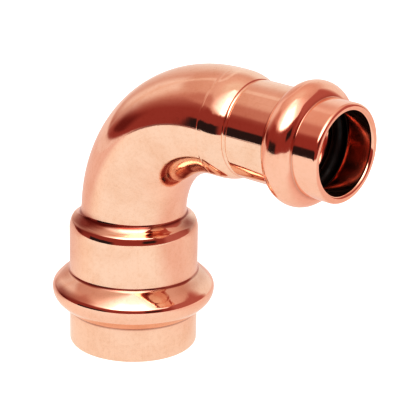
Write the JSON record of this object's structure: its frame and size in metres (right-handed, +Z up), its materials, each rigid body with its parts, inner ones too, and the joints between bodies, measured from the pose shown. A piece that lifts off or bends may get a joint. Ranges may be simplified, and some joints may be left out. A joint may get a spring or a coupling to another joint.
{
  "type": "reducing press elbow",
  "caption": "Right-angle copper elbow that joins a larger tube to a smaller one, with a beaded press socket and a rubber sealing ring at each end.",
  "frame": {"origin": "centre of the lower rim, in the plane of its end face", "axes": "+Z up along the lower socket, into the fitting; +X along the upper socket, out of its mouth; the bend lies in the XZ plane"},
  "size_m": [0.0658, 0.0314, 0.0613],
  "materials": {
    "copper": "bright drawn copper with fine forming lines",
    "seal_rubber": "smooth moulded rubber with a thin film of lubricant"
  },
  "bodies": {
    "root": {"elbow_body": "copper", "lower_seal_ring": "seal_rubber", "upper_seal_ring": "seal_rubber"}
  },
  "joints": []
}
